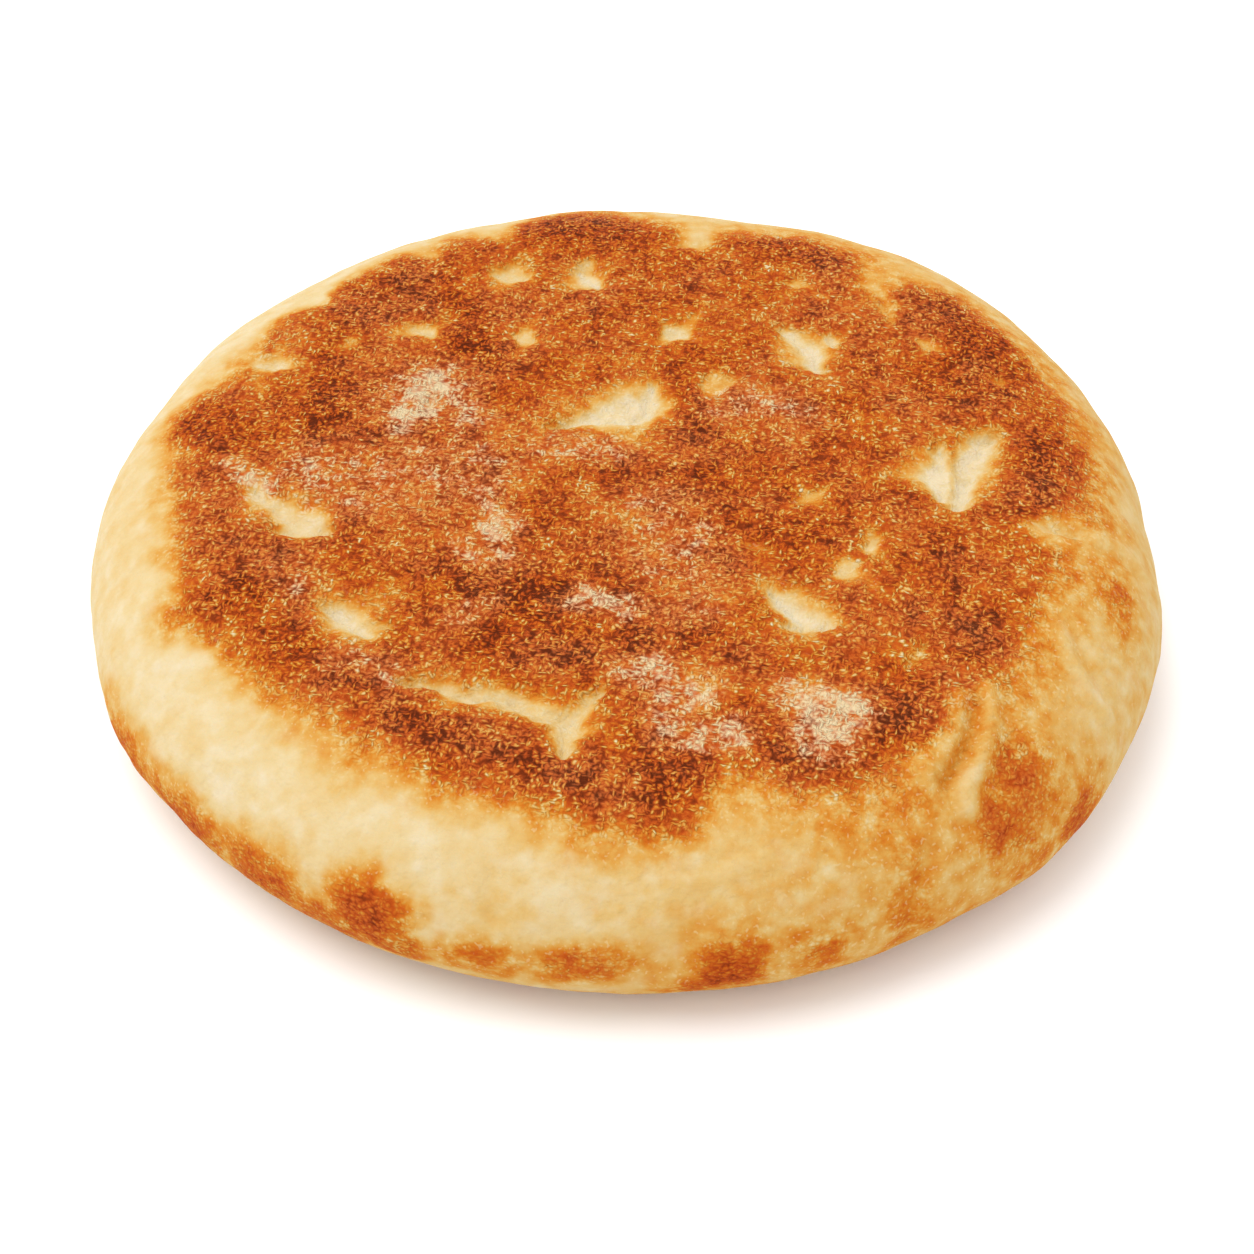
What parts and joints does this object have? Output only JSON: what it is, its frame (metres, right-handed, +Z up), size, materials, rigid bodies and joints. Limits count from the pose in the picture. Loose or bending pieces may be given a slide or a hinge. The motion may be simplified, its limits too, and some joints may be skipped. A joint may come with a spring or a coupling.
{
  "type": "pita bread",
  "caption": "Thick round griddle-baked pita bread with a browned, pitted top face, pale bulging sides and a flat underside that it rests on.",
  "frame": {"origin": "under the middle of the loaf, on the surface that it rests on", "axes": "+Z up through the loaf's thickness, from the underside to the browned top face; +X and +Y lie in the surface, with the pale front of the side towards -Y"},
  "size_m": [0.1578, 0.16, 0.03],
  "materials": {
    "crust": "matte"
  },
  "bodies": {
    "root": {"pita_bread": "crust"}
  },
  "joints": []
}
